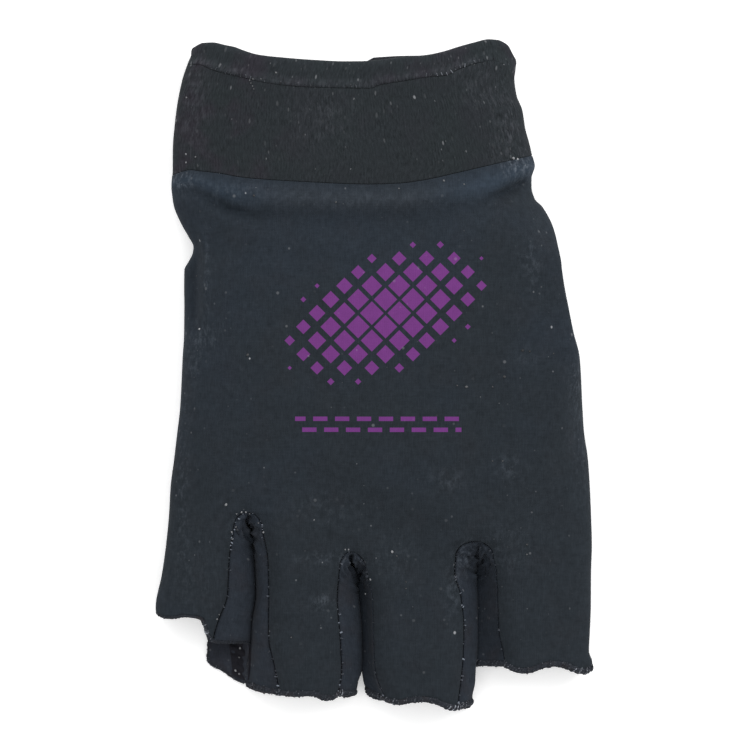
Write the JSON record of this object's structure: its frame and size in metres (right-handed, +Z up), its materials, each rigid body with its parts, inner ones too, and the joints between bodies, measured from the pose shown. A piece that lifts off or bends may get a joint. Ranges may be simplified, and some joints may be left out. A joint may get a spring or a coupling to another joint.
{
  "type": "fitness glove",
  "caption": "Half-finger stretch glove for the right hand with a knitted wrist band, lying on its palm.",
  "frame": {"origin": "on the floor under the middle of the glove's box", "axes": "+X from the little finger to the index finger, +Y from the fingertips to the wrist, +Z up through the back of the hand"},
  "size_m": [0.1055, 0.1606, 0.0173],
  "materials": {
    "stretch_cloth": "matt dark slate stretch cloth",
    "wall_cloth": "matt dark stretch cloth of the finger walls",
    "knit_band": "fine black ribbed knit",
    "hem_thread": "overlocked thread"
  },
  "bodies": {
    "root": {"wrist_hem": "knit_band", "wrist_band": "knit_band", "back_panel": "stretch_cloth", "palm_panel": "stretch_cloth", "finger_wall_1": "wall_cloth", "finger_wall_2": "wall_cloth", "finger_wall_3": "wall_cloth", "finger_hem_1": "hem_thread", "finger_hem_2": "hem_thread", "finger_hem_3": "hem_thread", "finger_hem_4": "hem_thread", "thumb_sleeve": "stretch_cloth", "thumb_hem": "hem_thread"}
  },
  "joints": []
}
